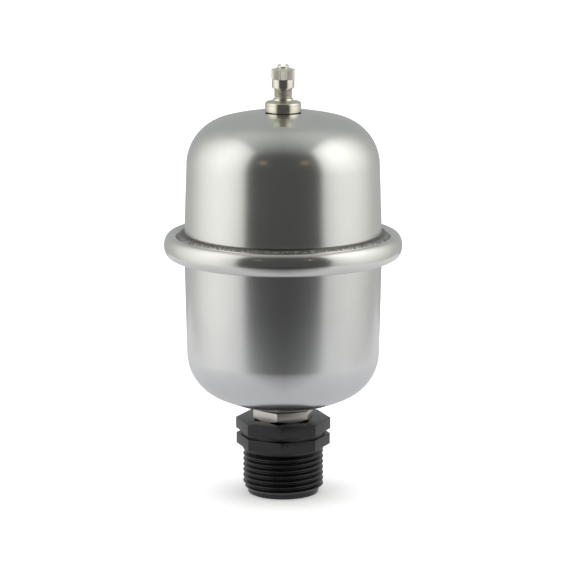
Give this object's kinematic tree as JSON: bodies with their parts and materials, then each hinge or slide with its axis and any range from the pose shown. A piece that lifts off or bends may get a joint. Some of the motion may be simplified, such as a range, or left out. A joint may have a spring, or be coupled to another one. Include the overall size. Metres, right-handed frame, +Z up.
{
  "type": "expansion tank",
  "caption": "Small stainless diaphragm expansion tank with a rolled seam ring, a capped charging valve on top and a black threaded reducing bush below.",
  "frame": {"origin": "centre of the end face of the reducing bush, on which the tank stands", "axes": "+Z up the tank's axis towards the charging valve, +Y into the picture"},
  "size_m": [0.0978, 0.0978, 0.1784],
  "materials": {
    "satin_steel": "satin polished stainless steel",
    "machined_steel": "machined stainless steel",
    "weld_metal": "rippled stainless weld bead",
    "plated_brass": "nickel-plated turned brass",
    "bare_brass": "turned brass",
    "spring_steel": "spring wire",
    "rubber": "black moulded rubber",
    "seal_plastic": "white seal ring",
    "black_plastic": "moulded black plastic"
  },
  "bodies": {
    "tank": {"reducing_bush": "black_plastic", "inlet_fitting": "machined_steel", "inlet_weld": "weld_metal", "lower_shell": "satin_steel", "diaphragm": "rubber", "upper_shell": "satin_steel", "clamp_ring": "satin_steel", "seam_weld": "weld_metal", "valve_stem": "plated_brass", "valve_washer": "plated_brass", "valve_gasket": "rubber", "inner_gasket": "rubber", "inner_washer": "machined_steel", "valve_nut": "plated_brass", "core_plug": "bare_brass", "core_barrel": "bare_brass", "core_barrel_seal": "seal_plastic", "core_spring": "spring_steel"},
    "seal": {"cap_seal": "rubber"},
    "cap": {"valve_cap": "plated_brass"},
    "pin": {"core_pin": "bare_brass", "core_seat_seal": "rubber"}
  },
  "joints": [
    {"name": "cap_lift", "type": "slide", "parent": "tank", "child": "seal", "axis": [0, 0, 1], "range_m": [0, 0.00595]},
    {"name": "cap_turn", "type": "hinge", "parent": "seal", "child": "cap", "pos_m": [0, 0, 0.1722], "axis": [0, 0, 1], "range_deg": [0, 2700]},
    {"name": "pin_press", "type": "slide", "parent": "tank", "child": "pin", "axis": [0, 0, -1], "range_m": [0, 0.0015], "stiffness_N_per_m": 1500, "springref_m": -0.001, "deforming": ["core_spring"]}
  ],
  "couplings": [
    {"joint": "cap_turn", "follows": "cap_lift", "rad_per_m": 7915.8}
  ]
}
